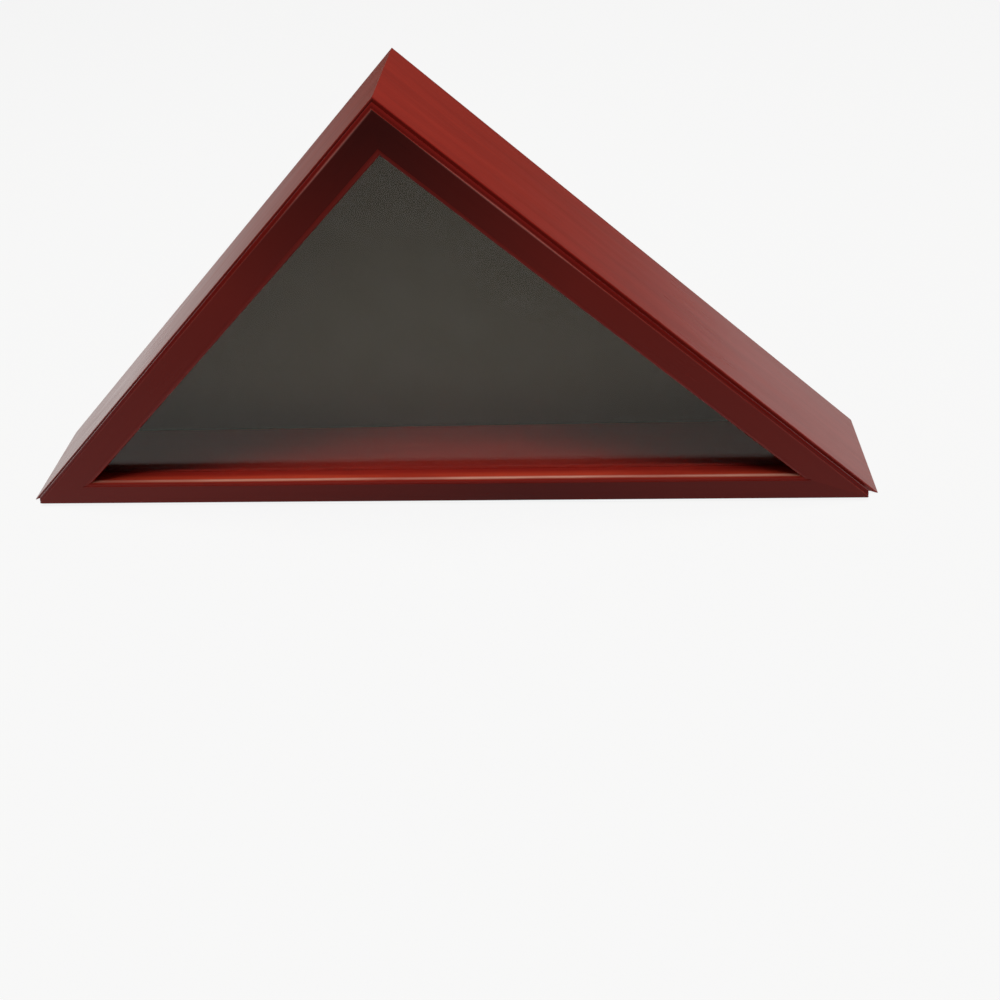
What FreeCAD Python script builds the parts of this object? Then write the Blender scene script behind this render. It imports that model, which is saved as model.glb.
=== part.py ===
import FreeCAD, Part
import os
import re
import Sketcher

# Triangular display case for a folded flag: a mitred wooden box with a glazed door on its front.
# Millimetres. X is the width, the door faces -Y, Z is up, and the case stands on z = 0.
# The origin is under the middle of the case, halfway through its depth.

SIZES = [
    ("case_width", 648, "base of the triangle, tip to tip"),
    ("base_angle", 45, "degrees at each lower tip"),
    ("case_depth", 80, "box without the door"),
    ("board_thickness", 12.5, "boards of the box"),
    ("rear_ease", 1, "bevel on the rear outer edges"),
    ("seam_radius", 0.8, "front outer edges of the sloping boards"),
    ("seam_bevel", 3.4, "rear outer edges of the sloping rails, which make a groove at the seam"),
    ("hinge_bevel", 2.4, "bevels on both sides of the bottom seam"),
    ("seam_gap", 0.5, "gap between box and door"),
    ("rabbet_width", 6, "rear rabbet of the boards"),
    ("back_recess", 7, "how far the back panel lies inside the rear edges"),
    ("panel_thickness", 6, "back panel"),
    ("panel_play", 0.4, "back panel to the rabbet wall"),
    ("liner_thickness", 1, "felt on the back panel"),
    ("liner_play", 0.3, "felt to the boards"),
    ("lip_thickness", 6.5, "rails in front of the box"),
    ("tongue_depth", 7, "rails behind the lip, inside the box"),
    ("tongue_play", 1.7, "tongue to the boards, so that it swings clear"),
    ("door_inset", 1, "door inside the outline of the box"),
    ("door_edge_radius", 2.3, "front outer edge of the door"),
    ("door_edge_step", 0.6, "step from the rounded edge up to the flat face"),
    ("tip_cut", 9, "points of the door, sawn off square inside the tips of the box"),
    ("rail_width", 23.7, "outer edge of the door to the window"),
    ("bead_radius", 3.4, "bead round the window"),
    ("quirk_depth", 0.4, "step between flat face and bead"),
    ("quirk_width", 0.5, "flat at the foot of the step"),
    ("glass_thickness", 2, "pane"),
    ("glass_rabbet", 6, "rabbet behind the bead"),
    ("glass_play", 0.5, "pane to the rabbet wall"),
    ("stop_thickness", 3.5, "glass stops"),
    ("stop_width", 8.2, "glass stops"),
    ("stop_setback", 1, "glass stop behind the edge of the window"),
    ("stop_radius", 1.5, "inner edge of the glass stops"),
    ("brad_radius", 0.6, "brads of the glass stops"),
    ("brad_length", 9, "brads of the glass stops"),
    ("brad_from_edge", 1.7, "brads to the outer edge of the stop"),
    ("slope_brad_pitch", 120, "brads along a sloping stop"),
    ("base_brad_pitch", 200, "brads along the bottom stop"),
    ("nail_leg", 6, "leg of a V-nail"),
    ("nail_gauge", 0.7, "steel of a V-nail"),
    ("nail_height", 4.5, "V-nail into the back of the lip"),
    ("nail_inset", 7.4, "V-nail from the outline of the box"),
    ("dowel_radius", 2, "dowels across the mitres"),
    ("dowel_length", 11, "dowels across the mitres"),
    ("dowel_inset", 7.5, "dowel from the outer faces"),
    ("dowel_first", 18, "first dowel behind the front edge"),
    ("dowel_pitch", 36, "first dowel to second"),
    ("panel_screw_radius", 1.25, "shank of the panel screws"),
    ("panel_screw_length", 14, "under the head"),
    ("panel_head_radius", 2.75, "pan head"),
    ("panel_head_height", 1.6, "pan head"),
    ("base_screw_pitch", 200, "panel screws along the base"),
    ("slope_screw_pitch", 130, "panel screws along a slope"),
    ("slot_width", 0.8, "screwdriver slot"),
    ("slot_depth", 0.8, "screwdriver slot"),
    ("hinge_spacing", 360, "hinge to hinge"),
    ("hinge_length", 30, "leaf along the seam"),
    ("leaf_thickness", 1, "hinge leaf"),
    ("leaf_width", 8.5, "axis to the edge of the leaf"),
    ("leaf_play", 0.1, "leaf to the ends of its mortise"),
    ("barrel_radius", 1.8, "hinge knuckles"),
    ("barrel_clearance", 0.3, "knuckle to wood, and to the other leaf"),
    ("barrel_lift", 0.2, "knuckle above the surface that the case stands on"),
    ("knuckle_gap", 0.2, "between knuckles"),
    ("pin_radius", 0.9, "hinge pin"),
    ("pin_clearance", 0.04, "pin to bore"),
    ("hinge_screw_radius", 0.9, "shank of the hinge screws"),
    ("hinge_head_radius", 1.6, "countersunk head"),
    ("hinge_head_height", 0.8, "countersunk head"),
    ("case_screw_length", 12, "hinge screw into the base board"),
    ("door_screw_length", 5, "hinge screw into the rail"),
    ("hinge_screw_rise", 5.4, "hinge axis to screw"),
    ("hinge_screw_pitch", 20, "screw to screw on one leaf"),
    ("magnet_radius", 3.5, "magnets and strikes"),
    ("magnet_depth", 3, "magnet"),
    ("strike_depth", 1.5, "strike"),
    ("magnet_from_apex", 40, "along the slope"),
    ("catch_inset", 8, "magnets and dots from the outline of the box"),
    ("bumper_radius", 3, "rubber dot"),
    ("bumper_from_tip", 110, "lower dot along the slope"),
    ("bumper_pitch", 150, "dot to dot along the slope"),
    ("plate_width", 16, "keyhole plate"),
    ("plate_height", 36, "keyhole plate"),
    ("plate_drop", 13, "entry hole to the foot of the plate"),
    ("plate_thickness", 1.5, "keyhole plate"),
    ("plate_corner", 3, "keyhole plate"),
    ("plate_spacing", 160, "keyhole to keyhole"),
    ("keyhole_height", 165, "entry hole above the base"),
    ("keyhole_radius", 4.5, "entry hole"),
    ("keyhole_slot_radius", 2.2, "half the slot"),
    ("keyhole_slot_length", 9, "entry hole to the end of the slot"),
    ("head_room_depth", 3.5, "pocket in the panel for the head of a wall screw"),
    ("head_room_play", 0.75, "pocket round the head"),
    ("plate_screw_radius", 1.2, "shank of the plate screws"),
    ("plate_screw_length", 6, "under the head"),
    ("plate_head_radius", 2.4, "pan head"),
    ("plate_head_height", 1.4, "pan head"),
    ("plate_screw_from_end", 4.5, "screw to the end of the plate"),
]

# Places that follow from the sizes.
APEX = "(case_width / 2 * tan(base_angle))"
SLOPE = "(case_width / 2 / cos(base_angle))"
Y_DOOR_FRONT = "(-(case_depth + seam_gap + lip_thickness) / 2)"
Y_LIP_BACK = f"({Y_DOOR_FRONT} + lip_thickness)"
Y_TONGUE_BACK = f"({Y_LIP_BACK} + tongue_depth)"
Y_BOX_FRONT = f"({Y_LIP_BACK} + seam_gap)"
Y_BOX_BACK = f"({Y_BOX_FRONT} + case_depth)"
Y_PANEL_BACK = f"({Y_BOX_BACK} - back_recess)"
Y_PANEL_FRONT = f"({Y_PANEL_BACK} - panel_thickness)"
Y_GLASS_FRONT = f"({Y_TONGUE_BACK} - glass_thickness)"
WINDOW = "(door_inset + rail_width)"
FLAT_EDGE = f"({WINDOW} - bead_radius - quirk_width)"
TONGUE = "(board_thickness + tongue_play)"
GLASS_SEAT = f"({WINDOW} - glass_rabbet)"
STOP_INNER = f"({WINDOW} - stop_setback)"
STOP_OUTER = f"({STOP_INNER} - stop_width)"
RABBET_WALL = "(board_thickness - rabbet_width)"
HINGE_Y = f"({Y_BOX_FRONT} - seam_gap / 2)"
HINGE_Z = "(barrel_radius + barrel_lift)"
TIP_MITRE = "(base_angle / 2)"
APEX_MITRE = "(90 - base_angle)"

# The three sides of the triangle. Each has its own frame at the middle of its outer edge, with
# local X along the edge and local Z inwards: name, middle x, middle z, turn about Y, edge
# length, mitre at the +X end, mitre at the -X end.
SIDES = {
    "base": ("0", "0", "0", "case_width", TIP_MITRE, TIP_MITRE),
    "left": ("-case_width / 4", f"{APEX} / 2", "180 - base_angle", SLOPE, TIP_MITRE, APEX_MITRE),
    "right": ("case_width / 4", f"{APEX} / 2", "180 + base_angle", SLOPE, APEX_MITRE, TIP_MITRE),
}

doc = FreeCAD.newDocument("flag_case")
sheet = doc.addObject("Spreadsheet::Sheet", "Sizes")
for row, (alias, value, note) in enumerate(SIZES, start=1):
    sheet.set(f"A{row}", alias)
    sheet.set(f"B{row}", str(value))
    sheet.set(f"C{row}", note)
    sheet.setAlias(f"B{row}", alias)
doc.recompute()

ALIAS = re.compile(r"\b(" + "|".join(alias for alias, _, _ in SIZES) + r")\b")
SAME_POINT = 1e-6
pieces = {}


def bound(text):
    """Expression text with each size read from the sheet."""
    return ALIAS.sub(r"Sizes.\1", text)


def value_of(text):
    """Present value of an expression."""
    return float(sheet.evalExpression(bound(text)))


def bind(item, **expressions):
    """Bind properties of an object to expressions."""
    for name, text in expressions.items():
        item.setExpression(name, bound(text))
    return item


def place(item, x="0", y="0", z="0", axis=(0, 0, 1), angle="0"):
    """Bind the Placement of an object: a turn about an axis, then a move."""
    turn = f"rotation(vector({axis[0]}; {axis[1]}; {axis[2]}); {angle})"
    item.setExpression("Placement", bound(f"placement(vector({x}; {y}; {z}); {turn})"))
    return item


def keep(label, item, solids=1):
    """Register a finished piece, with the number of solids that it must have."""
    item.Label = label
    pieces[label] = (item, solids)
    return item


def compound(name, items):
    """One object that holds several."""
    group = doc.addObject("Part::Compound", name)
    group.Links = items
    return group


def cut(name, base, tools):
    """The base with the tools taken out of it."""
    result = doc.addObject("Part::Cut", name)
    result.Base = base
    result.Tool = tools[0] if len(tools) == 1 else compound(f"{name}_tools", tools)
    return result


def new_sketch(body, plane, name):
    """Sketch on one of a body's own origin planes."""
    sketch = body.newObject("Sketcher::SketchObject", name)
    origin = {feature.Role: feature for feature in body.Origin.OriginFeatures}
    sketch.AttachmentSupport = [(origin[plane], "")]
    sketch.MapMode = "FlatFace"
    return sketch


def outline(sketch, corners):
    """Closed outline, taken anticlockwise. A corner is (x, y), or (x, y, radius) where the edge to
    the next corner is an arc that bulges outwards."""
    first = sketch.GeometryCount
    points = [FreeCAD.Vector(value_of(corner[0]), value_of(corner[1]), 0) for corner in corners]
    count = len(corners)
    arcs = []
    for index, corner in enumerate(corners):
        start = points[index]
        end = points[(index + 1) % count]
        if len(corner) == 2:
            sketch.addGeometry(Part.LineSegment(start, end), False)
            continue
        chord = end - start
        left = FreeCAD.Vector(-chord.y, chord.x, 0).normalize()
        radius = value_of(corner[2])
        half = chord.Length / 2
        reach = max(radius * radius - half * half, 0) ** 0.5
        middle = start + chord * 0.5
        crown = middle + left * (reach - radius)
        sketch.addGeometry(Part.Arc(start, crown, end), False)
        arcs.append((first + index, corner[2]))
    ends = {}
    for index in range(count):
        geometry = sketch.Geometry[first + index]
        forward = geometry.StartPoint.isEqual(points[index], SAME_POINT)
        ends[index] = (1, 2) if forward else (2, 1)
    for index in range(count):
        after = (index + 1) % count
        link = Sketcher.Constraint("Coincident", first + index, ends[index][1], first + after, ends[after][0])
        sketch.addConstraint(link)
    for index, corner in enumerate(corners):
        for kind, text in zip(("DistanceX", "DistanceY"), corner):
            rule = Sketcher.Constraint(kind, -1, 1, first + index, ends[index][0], value_of(text))
            number = sketch.addConstraint(rule)
            sketch.setExpression(f"Constraints[{number}]", bound(text))
    for geometry, radius in arcs:
        number = sketch.addConstraint(Sketcher.Constraint("Radius", geometry, value_of(radius)))
        sketch.setExpression(f"Constraints[{number}]", bound(radius))
    return sketch


def triangle(inset):
    """Corners of the case's triangle, moved inwards by an inset."""
    half = f"case_width / 2 - {inset} / tan({TIP_MITRE})"
    return [
        (f"-({half})", inset),
        (half, inset),
        ("0", f"{APEX} - {inset} / cos(base_angle)"),
    ]


def stick(name, side, corners, reach):
    """Moulded stick along one side of the triangle, mitred at both ends. The corners are its
    section, as depth y and distance z inwards from the outline of the case."""
    middle_x, middle_z, turn, length, far_mitre, near_mitre = SIDES[side]
    body = doc.addObject("PartDesign::Body", name)
    section = outline(new_sketch(body, "YZ_Plane", f"{name}_section"), corners)
    pad = body.newObject("PartDesign::Pad", f"{name}_pad")
    pad.Profile = section
    pad.SideType = "Symmetric"
    bind(pad, Length=length)
    saw = new_sketch(body, "XZ_Plane", f"{name}_mitre_lines")
    end = f"{length} / 2"
    outline(saw, [(end, "0"), (end, reach), (f"{end} - {reach} / tan({far_mitre})", reach)])
    outline(saw, [(f"-{end}", "0"), (f"-({end} - {reach} / tan({near_mitre}))", reach), (f"-{end}", reach)])
    mitres = body.newObject("PartDesign::Pocket", f"{name}_mitres")
    mitres.Profile = saw
    mitres.SideType = "Symmetric"
    mitres.Type = "ThroughAll"
    return place(body, middle_x, "0", middle_z, (0, 1, 0), turn)


def prism(name, corners, thickness, x, y_back, z):
    """Flat piece with an outline in X and Z about a point, whose rear face is at y_back."""
    body = doc.addObject("PartDesign::Body", name)
    pad = body.newObject("PartDesign::Pad", f"{name}_pad")
    pad.Profile = outline(new_sketch(body, "XZ_Plane", f"{name}_outline"), corners)
    bind(pad, Length=thickness)
    return place(body, x, y_back, z)


def on_side(side, along, inset):
    """X and Z of a point: along a side from its middle, and inwards from its outer edge."""
    middle_x, middle_z, turn = SIDES[side][:3]
    x = f"({middle_x} + ({along}) * cos({turn}) + ({inset}) * sin({turn}))"
    z = f"({middle_z} - ({along}) * sin({turn}) + ({inset}) * cos({turn}))"
    return x, z


def rod(name, radius, length, x, y, z, axis, angle):
    """Round rod, from a point along its turned Z axis."""
    item = bind(doc.addObject("Part::Cylinder", name), Radius=radius, Height=length)
    return place(item, x, y, z, axis, angle)


def rod_back(name, radius, length, x, y, z):
    """Round rod from a point towards the rear."""
    return rod(name, radius, length, x, y, z, (1, 0, 0), "-90")


def block(name, length, width, height, x, y, z):
    """Box with a corner at x, y, z."""
    item = bind(doc.addObject("Part::Box", name), Length=length, Width=width, Height=height)
    return place(item, x, y, z)


def pan_screw(name, radius, length, head_radius, head_height, x, y, z):
    """Slotted pan head screw. The underside of the head is at y, and the shank runs forwards."""
    shank = bind(doc.addObject("Part::Cylinder", f"{name}_shank"), Radius=radius, Height=length)
    place(shank, "0", "0", f"-({length})")
    head = bind(doc.addObject("Part::Cylinder", f"{name}_head"), Radius=head_radius, Height=head_height)
    whole = doc.addObject("Part::Fuse", f"{name}_blank")
    whole.Base = shank
    whole.Tool = head
    slot = block(f"{name}_slot", f"2 * {head_radius}", "slot_width", "slot_depth",
                 f"-{head_radius}", "-slot_width / 2", f"{head_height} - slot_depth")
    return place(cut(name, whole, [slot]), x, y, z, (1, 0, 0), "-90")


def flat_screw(name, length, x, y, z, angle):
    """Countersunk hinge screw. The face of the head is at y, and the angle turns it about X."""
    head = bind(doc.addObject("Part::Cone", f"{name}_head"), Radius1="hinge_head_radius",
                Radius2="hinge_screw_radius", Height="hinge_head_height")
    shank = bind(doc.addObject("Part::Cylinder", f"{name}_shank"), Radius="hinge_screw_radius", Height=length)
    whole = doc.addObject("Part::Fuse", name)
    whole.Base = head
    whole.Tool = shank
    return place(whole, x, y, z, (1, 0, 0), angle)


# Dowels, glued in across the three mitres.
DOWEL_SEATS = [
    ("left_tip", f"(-case_width / 2 + dowel_inset / tan({TIP_MITRE}))", "dowel_inset", f"-{TIP_MITRE}"),
    ("right_tip", f"(case_width / 2 - dowel_inset / tan({TIP_MITRE}))", "dowel_inset", TIP_MITRE),
    ("apex", "0", f"({APEX} - dowel_inset / cos(base_angle))", "90"),
]
dowels = []
for corner, seat_x, seat_z, turn in DOWEL_SEATS:
    for number, behind in enumerate(("dowel_first", "dowel_first + dowel_pitch"), start=1):
        dowels.append(rod(
            f"dowel_{corner}_{number}", "dowel_radius", "dowel_length",
            f"{seat_x} - dowel_length / 2 * sin({turn})", f"{Y_BOX_FRONT} + {behind}",
            f"{seat_z} - dowel_length / 2 * cos({turn})", (0, 1, 0), turn))
corner_dowels = keep("corner_dowels", compound("corner_dowels", dowels), len(dowels))

# Screws of the back panel, in the middle of the rabbet.
PANEL_SCREW_LINE = f"({RABBET_WALL} + rabbet_width / 2)"
panel_screws = []
for side, pitch in zip(SIDES, ("base_screw_pitch", "slope_screw_pitch", "slope_screw_pitch")):
    for step in (-1, 0, 1):
        screw_x, screw_z = on_side(side, f"{step} * {pitch}", PANEL_SCREW_LINE)
        panel_screws.append(pan_screw(
            f"panel_screw_{side}_{step + 2}", "panel_screw_radius", "panel_screw_length",
            "panel_head_radius", "panel_head_height", screw_x, Y_PANEL_BACK, screw_z))
back_panel_screws = keep("back_panel_screws", compound("back_panel_screws", panel_screws), len(panel_screws))

# Magnets in the box and strikes in the door, and the rubber dots between them.
magnets = []
strikes = []
dots = []
for side, to_apex in (("left", -1), ("right", 1)):
    catch_x, catch_z = on_side(side, f"{to_apex} * ({SLOPE} / 2 - magnet_from_apex)", "catch_inset")
    magnets.append(rod_back(f"magnet_{side}", "magnet_radius", "magnet_depth", catch_x, Y_BOX_FRONT, catch_z))
    strikes.append(rod_back(f"strike_{side}", "magnet_radius", "strike_depth",
                            catch_x, f"{Y_LIP_BACK} - strike_depth", catch_z))
    for number in (0, 1):
        from_tip = f"(bumper_from_tip + {number} * bumper_pitch)"
        dot_x, dot_z = on_side(side, f"{-to_apex} * ({SLOPE} / 2 - {from_tip})", "catch_inset")
        dots.append(rod_back(f"dot_{side}_{number + 1}", "bumper_radius", "seam_gap",
                             dot_x, Y_LIP_BACK, dot_z))
case_magnets = keep("case_magnets", compound("case_magnets", magnets), len(magnets))
door_strikes = keep("door_strikes", compound("door_strikes", strikes), len(strikes))
keep("door_bumpers", compound("door_bumpers", dots), len(dots))

# Hinge screws: two to a leaf, backwards into the base board and forwards into the rail.
case_hinge_screws = []
door_hinge_screws = []
for hinge, hinge_side in (("left", -1), ("right", 1)):
    for number in (-1, 1):
        screw_x = f"{hinge_side} * hinge_spacing / 2 + {number} * hinge_screw_pitch / 2"
        screw_z = f"{HINGE_Z} + hinge_screw_rise"
        tag = f"{hinge}_{number + 2}"
        case_hinge_screws.append(flat_screw(
            f"case_hinge_screw_{tag}", "case_screw_length", screw_x, Y_BOX_FRONT, screw_z, "-90"))
        door_hinge_screws.append(flat_screw(
            f"door_hinge_screw_{tag}", "door_screw_length", screw_x, Y_LIP_BACK, screw_z, "90"))
hinge_case_screws = keep("hinge_case_screws", compound("hinge_case_screws", case_hinge_screws),
                         len(case_hinge_screws))
hinge_door_screws = keep("hinge_door_screws", compound("hinge_door_screws", door_hinge_screws),
                         len(door_hinge_screws))


def barrel(name, radius, length, middle):
    """Rod along the hinge axis, about a middle in X, in the hinge's own frame."""
    return rod(name, radius, length, f"{middle} - ({length}) / 2", "0", "0", (0, 1, 0), "90")


def hinge_leaf(name, hinge_side, leaf_y, own_middles, other_middles, screws):
    """Leaf of a butt hinge: a flat plate with its own knuckles, cut clear of the other leaf's."""
    third = "hinge_length / 3"
    knuckle = f"{third} - knuckle_gap"
    flat = block(f"{name}_flat", "hinge_length", "leaf_thickness", "leaf_width",
                 "-hinge_length / 2", leaf_y, "0")
    solids = [flat]
    tools = [barrel(f"{name}_bore", "pin_radius + pin_clearance", "hinge_length", "0")]
    for number, middle in enumerate(own_middles):
        solids.append(barrel(f"{name}_knuckle_{number}", "barrel_radius", knuckle, middle))
    for number, middle in enumerate(other_middles):
        tools.append(barrel(f"{name}_clear_{number}", "barrel_radius + barrel_clearance", third, middle))
    blank = doc.addObject("Part::MultiFuse", f"{name}_blank")
    blank.Shapes = solids
    leaf = place(cut(f"{name}_formed", blank, tools), f"{hinge_side} * hinge_spacing / 2", HINGE_Y, HINGE_Z)
    return keep(name, cut(name, leaf, [screws]))


END_KNUCKLES = ("-hinge_length / 3", "hinge_length / 3")
MIDDLE_KNUCKLE = ("0",)
base_mortises = []
rail_mortises = []
for hinge, hinge_side in (("left", -1), ("right", 1)):
    hinge_leaf(f"{hinge}_hinge_case_leaf", hinge_side, "seam_gap / 2", END_KNUCKLES, MIDDLE_KNUCKLE,
               hinge_case_screws)
    hinge_leaf(f"{hinge}_hinge_door_leaf", hinge_side, "-seam_gap / 2 - leaf_thickness", MIDDLE_KNUCKLE,
               END_KNUCKLES, hinge_door_screws)
    pin_x = f"{hinge_side} * hinge_spacing / 2 - hinge_length / 2"
    keep(f"{hinge}_hinge_pin", rod(f"{hinge}_hinge_pin", "pin_radius", "hinge_length",
                                   pin_x, HINGE_Y, HINGE_Z, (0, 1, 0), "90"))
    start = f"{pin_x} - leaf_play"
    length = "hinge_length + 2 * leaf_play"
    notch = "barrel_radius + barrel_clearance - seam_gap / 2"
    leaf_top = f"{HINGE_Z} + leaf_width + leaf_play"
    notch_top = f"{HINGE_Z} + barrel_radius + barrel_clearance"
    base_mortises += [
        block(f"{hinge}_case_mortise", length, "leaf_thickness", leaf_top, start, Y_BOX_FRONT, "0"),
        block(f"{hinge}_case_notch", length, notch, notch_top, start, Y_BOX_FRONT, "0"),
    ]
    rail_mortises += [
        block(f"{hinge}_door_mortise", length, "leaf_thickness", leaf_top, start,
              f"{Y_LIP_BACK} - leaf_thickness", "0"),
        block(f"{hinge}_door_notch", length, notch, notch_top, start, f"{Y_LIP_BACK} - ({notch})", "0"),
    ]


def board_section(front_corner):
    """Section of a box board: eased outer edges, and a rear rabbet for the back panel."""
    return front_corner + [
        (f"{Y_BOX_BACK} - rear_ease", "0"),
        (Y_BOX_BACK, "rear_ease"),
        (Y_BOX_BACK, RABBET_WALL),
        (Y_PANEL_FRONT, RABBET_WALL),
        (Y_PANEL_FRONT, "board_thickness"),
        (Y_BOX_FRONT, "board_thickness"),
    ]


ROUNDED_FRONT = [(Y_BOX_FRONT, "seam_radius", "seam_radius"), (f"{Y_BOX_FRONT} + seam_radius", "0")]
BEVELLED_FRONT = [(Y_BOX_FRONT, "hinge_bevel"), (f"{Y_BOX_FRONT} + hinge_bevel", "0")]
for side, label, front_corner, tools in (
    ("left", "left_side_board", ROUNDED_FRONT, [case_magnets]),
    ("right", "right_side_board", ROUNDED_FRONT, [case_magnets]),
    ("base", "base_board", BEVELLED_FRONT, [hinge_case_screws] + base_mortises),
):
    board = stick(f"{label}_stick", side, board_section(front_corner), "board_thickness")
    keep(label, cut(label, board, [corner_dowels, back_panel_screws] + tools))


# Keyhole: an entry hole with a slot above it. The pocket behind it lets the head of a wall screw
# slide up the whole length of the slot.
NECK = "sqrt(keyhole_radius ^ 2 - keyhole_slot_radius ^ 2)"
KEYHOLE = [
    ("-keyhole_slot_radius", NECK, "keyhole_radius"),
    ("0", "-keyhole_radius", "keyhole_radius"),
    ("keyhole_slot_radius", NECK),
    ("keyhole_slot_radius", "keyhole_slot_length", "keyhole_slot_radius"),
    ("0", "keyhole_slot_length + keyhole_slot_radius", "keyhole_slot_radius"),
    ("-keyhole_slot_radius", "keyhole_slot_length"),
]
HEAD_RADIUS = "(keyhole_radius + head_room_play)"
HEAD_ROOM = [
    (f"-{HEAD_RADIUS}", "0", HEAD_RADIUS),
    ("0", f"-{HEAD_RADIUS}", HEAD_RADIUS),
    (HEAD_RADIUS, "0"),
    (HEAD_RADIUS, "keyhole_slot_length", HEAD_RADIUS),
    ("0", f"keyhole_slot_length + {HEAD_RADIUS}", HEAD_RADIUS),
    (f"-{HEAD_RADIUS}", "keyhole_slot_length"),
]
PLATE_EDGE = "(plate_width / 2)"
PLATE_SHOULDER = f"({PLATE_EDGE} - plate_corner)"
PLATE_TOP = "(plate_height - plate_drop)"
PLATE = [
    (f"-{PLATE_SHOULDER}", "-plate_drop"),
    (PLATE_SHOULDER, "-plate_drop", "plate_corner"),
    (PLATE_EDGE, "plate_corner - plate_drop"),
    (PLATE_EDGE, f"{PLATE_TOP} - plate_corner", "plate_corner"),
    (PLATE_SHOULDER, PLATE_TOP),
    (f"-{PLATE_SHOULDER}", PLATE_TOP, "plate_corner"),
    (f"-{PLATE_EDGE}", f"{PLATE_TOP} - plate_corner"),
    (f"-{PLATE_EDGE}", "plate_corner - plate_drop", "plate_corner"),
]

# Keyhole plates on the back panel, each held by two screws.
Y_PLATE_BACK = f"({Y_PANEL_BACK} + plate_thickness)"
HANGER_PLACES = {"left": "-plate_spacing / 2", "right": "plate_spacing / 2"}
plate_screws = []
for hand, plate_x in HANGER_PLACES.items():
    for end, rise in (
        ("lower", "plate_screw_from_end - plate_drop"),
        ("upper", f"{PLATE_TOP} - plate_screw_from_end"),
    ):
        plate_screws.append(pan_screw(
            f"plate_screw_{hand}_{end}", "plate_screw_radius", "plate_screw_length", "plate_head_radius",
            "plate_head_height", plate_x, Y_PLATE_BACK, f"keyhole_height + {rise}"))
hanger_screws = keep("hanger_screws", compound("hanger_screws", plate_screws), len(plate_screws))
pockets = []
for hand, plate_x in HANGER_PLACES.items():
    label = f"hanger_plate_{hand}"
    blank = prism(f"{label}_blank", PLATE, "plate_thickness", plate_x, Y_PLATE_BACK, "keyhole_height")
    hole = prism(f"{label}_keyhole", KEYHOLE, "plate_thickness", plate_x, Y_PLATE_BACK, "keyhole_height")
    keep(label, cut(label, blank, [hole, hanger_screws]))
    pockets.append(prism(f"{label}_pocket", HEAD_ROOM, "head_room_depth", plate_x, Y_PANEL_BACK,
                         "keyhole_height"))

panel = prism("back_panel_sheet", triangle(f"({RABBET_WALL} + panel_play)"), "panel_thickness",
              "0", Y_PANEL_BACK, "0")
keep("back_panel", cut("back_panel", panel, [back_panel_screws, hanger_screws] + pockets))
keep("back_liner", prism("back_liner", triangle("(board_thickness + liner_play)"), "liner_thickness",
                         "0", Y_PANEL_FRONT, "0"))

# V-nails: one across each mitre of the door, driven in from behind.
NAIL_SEATS = [
    ("left_tip", f"-case_width / 2 + nail_inset / tan({TIP_MITRE})", "nail_inset", f"90 - {TIP_MITRE}"),
    ("right_tip", f"case_width / 2 - nail_inset / tan({TIP_MITRE})", "nail_inset", f"270 + {TIP_MITRE}"),
    ("apex", "0", f"{APEX} - nail_inset / cos(base_angle)", "180"),
]
LEG_RISE = "(nail_leg * sqrt(0.5))"
LEG_STEP = "(nail_gauge * sqrt(0.5))"
V_NAIL = [
    ("0", "0"),
    (LEG_RISE, LEG_RISE),
    (f"{LEG_RISE} - {LEG_STEP}", f"{LEG_RISE} + {LEG_STEP}"),
    ("0", f"2 * {LEG_STEP}"),
    (f"{LEG_STEP} - {LEG_RISE}", f"{LEG_RISE} + {LEG_STEP}"),
    (f"-{LEG_RISE}", LEG_RISE),
]
v_nails = []
for corner, seat_x, seat_z, turn in NAIL_SEATS:
    nail = prism(f"v_nail_{corner}", V_NAIL, "nail_height", "0", "0", "0")
    v_nails.append(place(nail, seat_x, Y_LIP_BACK, seat_z, (0, 1, 0), turn))
door_v_nails = keep("door_v_nails", compound("door_v_nails", v_nails), len(v_nails))

# Brads of the glass stops, flush with the stops and driven into the rails.
Y_STOP_BACK = f"({Y_TONGUE_BACK} + stop_thickness)"
brads = []
for side, pitch in zip(SIDES, ("base_brad_pitch", "slope_brad_pitch", "slope_brad_pitch")):
    for step in (-1, 0, 1):
        brad_x, brad_z = on_side(side, f"{step} * {pitch}", f"{STOP_OUTER} + brad_from_edge")
        brads.append(rod_back(f"brad_{side}_{step + 2}", "brad_radius", "brad_length",
                              brad_x, f"{Y_STOP_BACK} - brad_length", brad_z))
glass_stop_brads = keep("glass_stop_brads", compound("glass_stop_brads", brads), len(brads))


def rail_section(back_corner):
    """Section of a door rail: a lip over the edge of the box, and a tongue inside it with the glass
    rabbet. In front are the rounded edge, a step, the flat face, a quirk and the bead."""
    foot = f"{Y_DOOR_FRONT} + quirk_depth"
    shoulder = f"{Y_DOOR_FRONT} + door_edge_step"
    return [
        (f"{shoulder} + door_edge_radius", "door_inset"),
    ] + back_corner + [
        (Y_LIP_BACK, TONGUE),
        (Y_TONGUE_BACK, TONGUE),
        (Y_TONGUE_BACK, GLASS_SEAT),
        (Y_GLASS_FRONT, GLASS_SEAT),
        (Y_GLASS_FRONT, WINDOW),
        (f"{foot} + bead_radius", WINDOW, "bead_radius"),
        (foot, f"{FLAT_EDGE} + quirk_width"),
        (foot, FLAT_EDGE),
        (Y_DOOR_FRONT, FLAT_EDGE),
        (Y_DOOR_FRONT, "door_inset + door_edge_radius"),
        (shoulder, "door_inset + door_edge_radius", "door_edge_radius"),
    ]


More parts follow.
